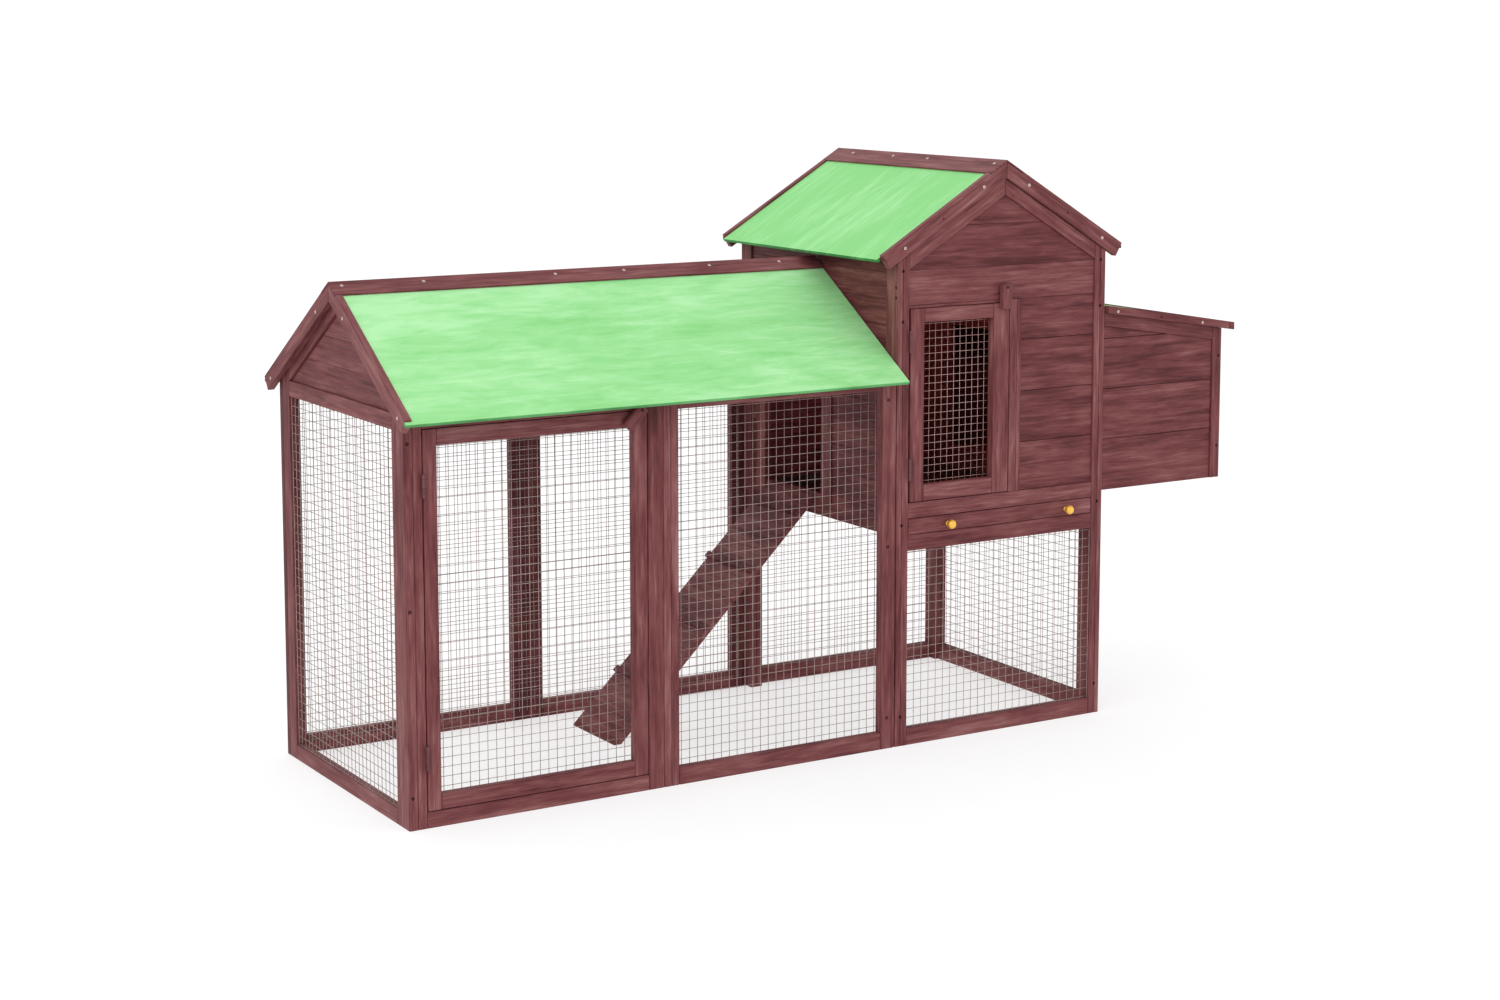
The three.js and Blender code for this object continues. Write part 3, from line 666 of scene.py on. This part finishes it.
def roof_trims():
    """The bargeboards and the ridge caps."""
    for side, outwards in (("front", -Y), ("rear", Y)):
        node = f"run_bargeboard_{side}"
        board = beyond(solid(node), X * (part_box(node)[0].x + HEAD_ROOM), X)
        boards(node, [(board, slope_grain(outwards, RUN_PITCH))])
    for side, outwards in (("left", -X), ("right", X)):
        for end in ("front", "rear"):
            node = f"house_bargeboard_{end}_{side}"
            boards(node, [(solid(node), slope_grain(outwards, HOUSE_PITCH))])
    for node, axis, at, grain in (
        ("run_ridge_cap", 1, 0.0, X),
        ("house_ridge_cap", 0, HOUSE_MIDDLE.x, Y),
    ):
        boards(node, [(part, grain) for part in slabs(solid(node), axis, [at])], THIN_EDGE)


# ---------------------------------------------------------------- nest box

NEST_JOINT = 0.580  # height of one joint between the nest's planks
NEST_POST = 0.025  # width of the upright at the sides' outer end
NEST_STRIP = 0.027  # height of the sloping strip along the sides' top
NEST_FLOOR = 0.012  # thickness
LID_RIM = 0.014
lid_slope = Vector((1, 0, -NEST_FALL))


def nest_box():
    across_slope = Vector((NEST_FALL, 0, 1)).normalized()
    for side in ("front", "rear"):
        node = f"nest_{side}_side"
        lo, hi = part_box(node)
        rest, post = slabs(solid(node), 0, [hi.x - NEST_POST])
        rest, top = halves(rest, Vector((lo.x, 0, hi.z - NEST_STRIP)), across_slope)
        joints = steps(NEST_JOINT, PLANK, lo.z, hi.z - NEST_STRIP)
        boards(node, [(post, Z), (top, lid_slope), *planked(rest, X, joints)])
    node = "nest_end_panel"
    lo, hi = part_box(node)
    boards(node, planked(solid(node), Y, steps(NEST_JOINT, PLANK, lo.z, hi.z)))
    node = "nest_floor"
    lo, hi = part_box(node)
    floor_top = lo.z + NEST_FLOOR
    bottom, divider = slabs(solid(node), 2, [floor_top])
    planks = [(part, Y) for part in slabs(bottom, 0, steps(lo.x, PLANK, lo.x, hi.x))]
    boards(node, planks + planked(divider, X, steps(floor_top, PLANK, lo.z, hi.z)))


def nest_lid():
    node = "nest_lid_edge"
    _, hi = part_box(node)
    arms, tip = slabs(solid(node), 0, [hi.x - LID_RIM])
    front, rear = slabs(arms, 1, [0.0])
    boards(node, [(front, lid_slope), (rear, lid_slope), (tip, Y)])
    roof("nest_lid", Y)


# ---------------------------------------------------------------- wire mesh


def tube(bm, a, b, radius, sides=6):
    """A straight round bar from a to b, with closed ends."""
    direction = (b - a).normalized()
    u = direction.orthogonal().normalized()
    v = direction.cross(u)
    rings = []
    for end in (a, b):
        ring = []
        for k in range(sides):
            angle = 2 * math.pi * k / sides
            right, up = u * (radius * math.cos(angle)), v * (radius * math.sin(angle))
            ring.append(bm.verts.new(end + right + up))
        rings.append(ring)
    for k in range(sides):
        n = (k + 1) % sides
        bm.faces.new([rings[0][k], rings[0][n], rings[1][n], rings[1][k]])
    bm.faces.new(rings[0][::-1])
    bm.faces.new(rings[1])


def wire_mesh(node, pitch=RUN_MESH, radius=WIRE, material=GALVANISED_PAINTED_SHADE):
    """Welded wire in place of a sheet: uprights outside, the level wires just behind them."""
    lo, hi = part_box(node)
    size = hi - lo
    thin = min(range(3), key=lambda axis: size[axis])
    level = 1 - thin
    outside, inwards = (lo, 1) if (lo + hi)[thin] / 2 < 0 else (hi, -1)
    piece = Piece(f"{node}_wires", material)
    shake = piece.random
    short, uneven = 0.0004, 0.00022
    for axis, layer in ((level, 1), (2, 3)):
        run = 2 if axis == level else level
        for at in steps(lo[axis] + (size[axis] % pitch) / 2, pitch, lo[axis], hi[axis], -1e-6):
            start, end = Vector(), Vector()
            for point, along_run in ((start, lo[run] + short), (end, hi[run] - short)):
                point[run] = along_run
                point[axis] = at + shake.uniform(-1, 1) * uneven
                point[thin] = outside[thin] + inwards * layer * radius
            bm = bmesh.new()
            tube(bm, start, end, radius)
            piece.add(bm, end - start, smooth=True)
    piece.place(BODY_OF[node], "wire_mesh", node)


# ---------------------------------------------------------------- screws


def screw_head(radius, normal, place):
    """A flat head with a cross recess, standing a hair proud of the board."""
    bm = bmesh.new()
    sides, arm, half = 20, radius * 0.55, radius * 0.13
    proud, sunk = 0.00012, -0.0008

    def ring(points):
        verts = [bm.verts.new(p) for p in points]
        edges = [bm.edges.new((a, b)) for a, b in zip(verts, verts[1:] + verts[:1])]
        return verts, edges

    def circle(r, z):
        turns = (2 * math.pi * k / sides for k in range(sides))
        return [Vector((r * math.cos(t), r * math.sin(t), z)) for t in turns]

    def cross(z):
        right = [(half, arm), (half, half), (arm, half)]
        right += [(x, -y) for x, y in reversed(right)]
        return [Vector((x, y, z)) for x, y in right + [(-x, -y) for x, y in right]]

    base, _ = ring(circle(radius, sunk))
    top, top_edges = ring(circle(radius * 0.96, proud))
    mouth, mouth_edges = ring(cross(proud))
    pit, _ = ring(cross(sunk * 0.6))
    bmesh.ops.triangle_fill(bm, edges=top_edges + mouth_edges, use_beauty=True)
    for outer, inner in ((base, top), (mouth, pit)):
        for k in range(len(outer)):
            n = (k + 1) % len(outer)
            bm.faces.new([outer[k], outer[n], inner[n], inner[k]])
    bm.faces.new(pit)
    bm.faces.new(base[::-1])
    turn = normal.to_track_quat("Z", "Y").to_matrix().to_4x4()
    bm.transform(Matrix.Translation(place) @ turn)
    return bm


def screws(name, body, slot, material, radius, places):
    """One piece of screw heads. places are (point on the surface, its normal)."""
    piece = Piece(name, material)
    for point, normal in places:
        piece.add(screw_head(radius, normal.normalized(), point), normal)
    piece.place(body, slot)


def on_front(node, points):
    """Places on a node's front face: across from its left edge, and up from the ground."""
    lo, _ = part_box(node)
    return [(Vector((lo.x + across, lo.y, up)), -Y) for across, up in points]


def on_back(node, points):
    """Likewise on the back, across from the edge that is on the left when seen from behind."""
    _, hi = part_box(node)
    return [(Vector((hi.x - across, hi.y, up)), Y) for across, up in points]


def on_left(node, points):
    """On the left face, across from its front edge."""
    lo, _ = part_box(node)
    return [(Vector((lo.x, lo.y + across, up)), -X) for across, up in points]


def on_right(node, points):
    """On the right face, across from its rear edge."""
    _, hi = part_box(node)
    return [(Vector((hi.x, hi.y - across, up)), X) for across, up in points]


def down_slope(ridge, middle, outwards, pitch, distance, depth, start):
    """A point on a roof, that far down the slope and below its top, moved by start."""
    point = middle + Z * ridge + slope_grain(outwards, pitch) * distance
    return point - slope_normal(outwards, pitch) * depth + start


def roof_screws():
    pale, dark = [], []
    lo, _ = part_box("run_ridge_cap")
    bargeboard_face = X * (lo.x + HEAD_ROOM)
    for outwards in (-Y, Y):
        slope = (RUN_RIDGE, RUN_MIDDLE, outwards, RUN_PITCH)
        upwards = slope_normal(outwards, RUN_PITCH)
        for along_cap in (0.022, 0.186, 0.462, 0.612, 0.806, 0.970):
            start = X * (lo.x + along_cap)
            pale.append((down_slope(*slope, distance=0.014, depth=0, start=start), upwards))
        for distance in (0.088, 0.372):
            place = down_slope(*slope, distance, depth=0.018, start=bargeboard_face)
            pale.append((place, -X))
    lo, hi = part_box("house_ridge_cap")
    for outwards in (-X, X):
        slope = (HOUSE_RIDGE, HOUSE_MIDDLE, outwards, HOUSE_PITCH)
        upwards = slope_normal(outwards, HOUSE_PITCH)
        for along_cap in (0.026, 0.257, 0.382, 0.535):
            start = Y * (lo.y + along_cap)
            pale.append((down_slope(*slope, distance=0.015, depth=0, start=start), upwards))
        for face, normal in ((lo.y, -Y), (hi.y, Y)):
            for heads, distance in ((pale, 0.075), (dark, 0.190), (pale, 0.296)):
                place = down_slope(*slope, distance, depth=0.016, start=Y * face)
                heads.append((place, normal))
    screws("roof_screws", "frame", "zinc_sheet", PALE_SCREW, ROOF_HEAD, pale)
    screws("bargeboard_nails", "frame", "hinge_steel", DARK_SCREW, BARGEBOARD_NAIL, dark)


def frame_screws():
    places = []
    for node, face, across, heights in (
        ("house_post_front_left", on_front, 0.013, (0.060, 0.449, 0.855, 0.955)),
        ("house_post_front_right", on_front, 0.0155, (0.063, 0.451, 0.860, 0.955)),
        ("house_post_front_left", on_left, 0.0055, (0.903, 0.923)),
        ("run_front_frame", on_front, 0.9967, (0.063, 0.410, 0.703)),
        ("run_corner_post_front", on_front, 0.0074, (0.060, 0.400, 0.702)),
        ("nest_front_side", on_front, 0.3115, (0.541, 0.735)),
        ("nest_rear_side", on_back, 0.008, (0.541, 0.735)),
        ("house_post_rear_left", on_back, 0.014, (0.060, 0.449, 0.855, 0.945)),
        ("house_post_rear_right", on_back, 0.014, (0.060, 0.449, 0.855, 0.945)),
        ("run_rear_frame", on_back, 0.017, (0.05, 0.40, 0.742)),
        ("run_rear_frame", on_back, 0.51, (0.05, 0.40, 0.742)),
        ("run_rear_frame", on_back, 0.545, (0.05, 0.40, 0.742)),
        ("run_rear_frame", on_back, 1.033, (0.05, 0.40, 0.742)),
        ("nest_end_panel", on_right, 0.008, (0.52, 0.62, 0.74)),
        ("nest_end_panel", on_right, 0.554, (0.52, 0.62, 0.74)),
    ):
        places += face(node, [(across, up) for up in heights])
    screws("frame_screws", "frame", "hinge_steel", DARK_SCREW, FRAME_HEAD, places)


def joint_place(name):
    return next(j["pos_m"] for j in frame["joints"] if j["name"] == name)


def button_screws():
    """On each turn button the painted screw that it turns on, and a dark one at its upper end."""
    for name, upper in (
        ("run_door_button", Vector((0.022, 0, 0.022))),
        ("house_door_button", Vector((0, 0, 0.038))),
    ):
        x, _, z = joint_place(f"{name}_screw")
        pivot = Vector((x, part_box(name)[0].y, z))
        screws(f"{name}_screw", name, "hinge_steel", PAINTED, PIVOT_HEAD, [(pivot, -Y)])
        places = [(pivot + upper, -Y)]
        screws(f"{name}_upper_screw", name, "hinge_steel", DARK_SCREW, FRAME_HEAD, places)


def lid_screws():
    """On both sides of the lid's edging, along a line that falls with the lid."""
    lo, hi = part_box("nest_lid_edge")
    below_top = 0.0095
    pale, dark = [], []
    for y, normal in ((lo.y, -Y), (hi.y, Y)):
        for heads, reach in ((pale, 0.0255), (dark, 0.1415), (pale, 0.2545)):
            up = hi.z - reach * NEST_FALL - below_top
            heads.append((Vector((lo.x + reach, y, up)), normal))
    screws("nest_lid_screws", "nest_lid", "zinc_sheet", PALE_SCREW, LID_HEAD, pale)
    screws("nest_lid_nails", "nest_lid", "hinge_steel", DARK_SCREW, LID_NAIL, dark)


# ---------------------------------------------------------------- hinges, knobs and the tray's pan


def lathe(profile, centre, direction, sides=32):
    """A closed turned solid. profile is (radius, distance along direction), from axis to axis."""
    bm = bmesh.new()
    u = direction.orthogonal().normalized()
    v = direction.cross(u)
    rings = []
    for radius, reach in profile:
        middle = centre + direction * reach
        if radius < 1e-9:
            rings.append([bm.verts.new(middle)])
            continue
        ring = []
        for k in range(sides):
            angle = 2 * math.pi * k / sides
            ring.append(bm.verts.new(middle + (u * math.cos(angle) + v * math.sin(angle)) * radius))
        rings.append(ring)
    for low, high in zip(rings, rings[1:]):
        for k in range(sides):
            n = k + 1
            corners = low[k % len(low)], low[n % len(low)], high[n % len(high)], high[k % len(high)]
            unique = list(dict.fromkeys(corners))
            if len(unique) > 2:
                bm.faces.new(unique)
    return bm


def knuckle(centre, direction, long, radius, count):
    """A hinge's barrel: a pin with rounded ends, and the leaves' knuckles with gaps between."""
    groove = radius * 0.72
    profile = [(0, 0), (radius * 0.6, 0.0002), (radius, 0.0008)]
    for k in range(1, count):
        at = long * k / count
        profile += [(radius, at - 0.0003), (groove, at - 0.0002)]
        profile += [(groove, at + 0.0002), (radius, at + 0.0003)]
    profile += [(radius, long - 0.0008), (radius * 0.6, long - 0.0002), (0, long)]
    return lathe(profile, centre - direction * (long / 2), direction, 20)


BARREL = 0.003  # radius
LID_LEAF = 0.0014  # thickness of the lid hinge's leaf
DOOR_KNUCKLES = 5
LID_KNUCKLES = 23


def hinges():
    for name in ("run_door", "house_door"):
        x, y, _ = joint_place(f"{name}_hinge")
        behind = Y * (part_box(f"{name}_frame")[0].y + CLEAR)
        for which in ("lower", "upper"):
            node = f"{name}_hinge_{which}"
            lo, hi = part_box(node)
            piece = Piece(f"{node}_painted", PAINTED)
            centre = Vector((x, y, (lo.z + hi.z) / 2))
            piece.add(knuckle(centre, Z, hi.z - lo.z, BARREL, DOOR_KNUCKLES), Z)
            piece.add(beyond(solid(node), behind, Y), Z)
            piece.place("frame", "hinge_steel", node)


def lid_hinge():
    node = "nest_lid_hinge"
    lo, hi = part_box(node)
    centre = Vector(joint_place(node))
    centre.y = (lo.y + hi.y) / 2
    piece = Piece(f"{node}_painted", PAINTED)
    piece.add(knuckle(centre, Y, hi.y - lo.y, BARREL, LID_KNUCKLES), Y)
    piece.add(beyond(solid(node), X * (lo.x + LID_LEAF), -X), Y)
    piece.place("frame", "hinge_steel", node)


def knobs():
    """Brass knobs: a foot, a thin neck, and a ball that starts at the neck's end."""
    for node in ("tray_knob_left", "tray_knob_right"):
        lo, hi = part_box(node)
        centre = (lo + hi) / 2
        long, radius = hi.y - lo.y, (hi.x - lo.x) / 2
        profile = [(0, 0), (0.0048, 0), (0.0052, 0.0008), (0.0044, 0.0016)]
        profile += [(0.0037, 0.003), (0.0036, 0.0065)]
        ball = 0.0075
        middle, reach = (ball + long) / 2, (long - ball) / 2
        for k in range(1, 16):
            angle = math.pi * k / 16
            profile.append((radius * math.sin(angle) ** 0.85, middle - reach * math.cos(angle)))
        profile.append((0, long))
        piece = Piece(f"{node}_brass", BRASS)
        piece.add(lathe(profile, Vector((centre.x, hi.y, centre.z)), -Y, 40), Y, smooth=True)
        piece.place(BODY_OF[node], "brass_knob", node)


def tray_pan():
    piece = Piece("tray_pan_sheet", ZINC)
    piece.add(solid("tray_pan"), X, THIN_EDGE)
    piece.place("tray", "zinc_sheet", "tray_pan")


# ---------------------------------------------------------------- floor, light and camera


def floor():
    mesh = bpy.data.meshes.new("floor")
    reach = 400.0
    corners = [(-reach, -reach, 0), (reach, -reach, 0), (reach, reach, 0), (-reach, reach, 0)]
    mesh.from_pydata(corners, [], [(0, 1, 2, 3)])
    s = Shader("pale_floor")
    place = s.node("ShaderNodeNewGeometry", {}).outputs["Position"]
    shade = s.noise(place, (2, 2, 2), 3.0)
    colour = s.ramp(shade, [(0.3, (0.37, 0.37, 0.37, 1)), (0.7, (0.39, 0.39, 0.39, 1))])
    material = s.finish(
        Base_Color=colour,
        Roughness=0.9,
        Specular_IOR_Level=0.1,
        Emission_Color=(1, 1, 1, 1),
        Emission_Strength=0.65,
    )
    mesh.materials.append(material)
    obj = bpy.data.objects.new("floor", mesh)
    bpy.context.scene.collection.objects.link(obj)


def lights():
    world = bpy.data.worlds.new("studio")
    world.use_nodes = True
    background = world.node_tree.nodes["Background"]
    background.inputs["Color"].default_value = (1, 1, 1, 1)
    background.inputs["Strength"].default_value = 1.01
    bpy.context.scene.world = world
    for name, place, target, size, power, colour in (
        ("key", (-4.4, -2.6, 4.2), (0, 0, 0.5), 3.5, 60, (1, 1, 1)),
        ("fill", (4.2, -3.0, 3.0), (0, 0, 0.5), 3.5, 10, (1, 1, 1)),
        ("back", (0.5, 4.2, 3.8), (0, 0, 0.5), 3.5, 22, (1, 1, 1)),
        ("house_inside", (0.36, 0, 0.96), (0.36, 0, 0.6), 0.2, 0.5, (1, 0.3, 0.26)),
    ):
        lamp = bpy.data.lights.new(name, "AREA")
        lamp.size = size
        lamp.energy = power
        lamp.color = colour
        obj = bpy.data.objects.new(name, lamp)
        obj.location = place
        obj.rotation_euler = (Vector(target) - obj.location).to_track_quat("-Z", "Y").to_euler()
        bpy.context.scene.collection.objects.link(obj)
    bpy.context.scene.view_settings.view_transform = "Standard"


def camera():
    """A small downward tilt and a small shift frame the coop from its front left."""
    lens = bpy.data.cameras.new("camera")
    lens.lens = 61.97
    lens.sensor_width = 36
    lens.shift_y = -0.1
    obj = bpy.data.objects.new("camera", lens)
    obj.location = (-2.7628, -4.4344, 1.4308)
    tilt, azimuth = math.radians(7.147), math.radians(-31.384)
    obj.rotation_euler = (math.radians(90) - tilt, 0, azimuth)
    bpy.context.scene.collection.objects.link(obj)
    bpy.context.scene.camera = obj


# ---------------------------------------------------------------- the coop

run_gable()
run_frames()
door("run_door")
door("house_door")
run_posts()
ramp()
house_posts()
house_rails()
house_floor()
house_front()
house_sides()
roofs()
roof_trims()
nest_box()
nest_lid()
for button, grain in (("run_door_button", X + Z), ("house_door_button", Z)):
    boards(button, [(solid(button), grain)], BUTTON_EDGE)
for sheet in (
    "run_end_mesh",
    "run_front_mesh",
    "run_rear_mesh",
    "run_door_mesh",
    "house_mesh_front",
    "house_mesh_rear",
    "house_mesh_right",
):
    wire_mesh(sheet)
wire_mesh("house_door_mesh", WINDOW_MESH, WINDOW_WIRE, WINDOW_WIRE_PAINTED_LIGHT)
roof_screws()
frame_screws()
button_screws()
lid_screws()
hinges()
lid_hinge()
knobs()
tray_pan()
floor()
lights()
camera()
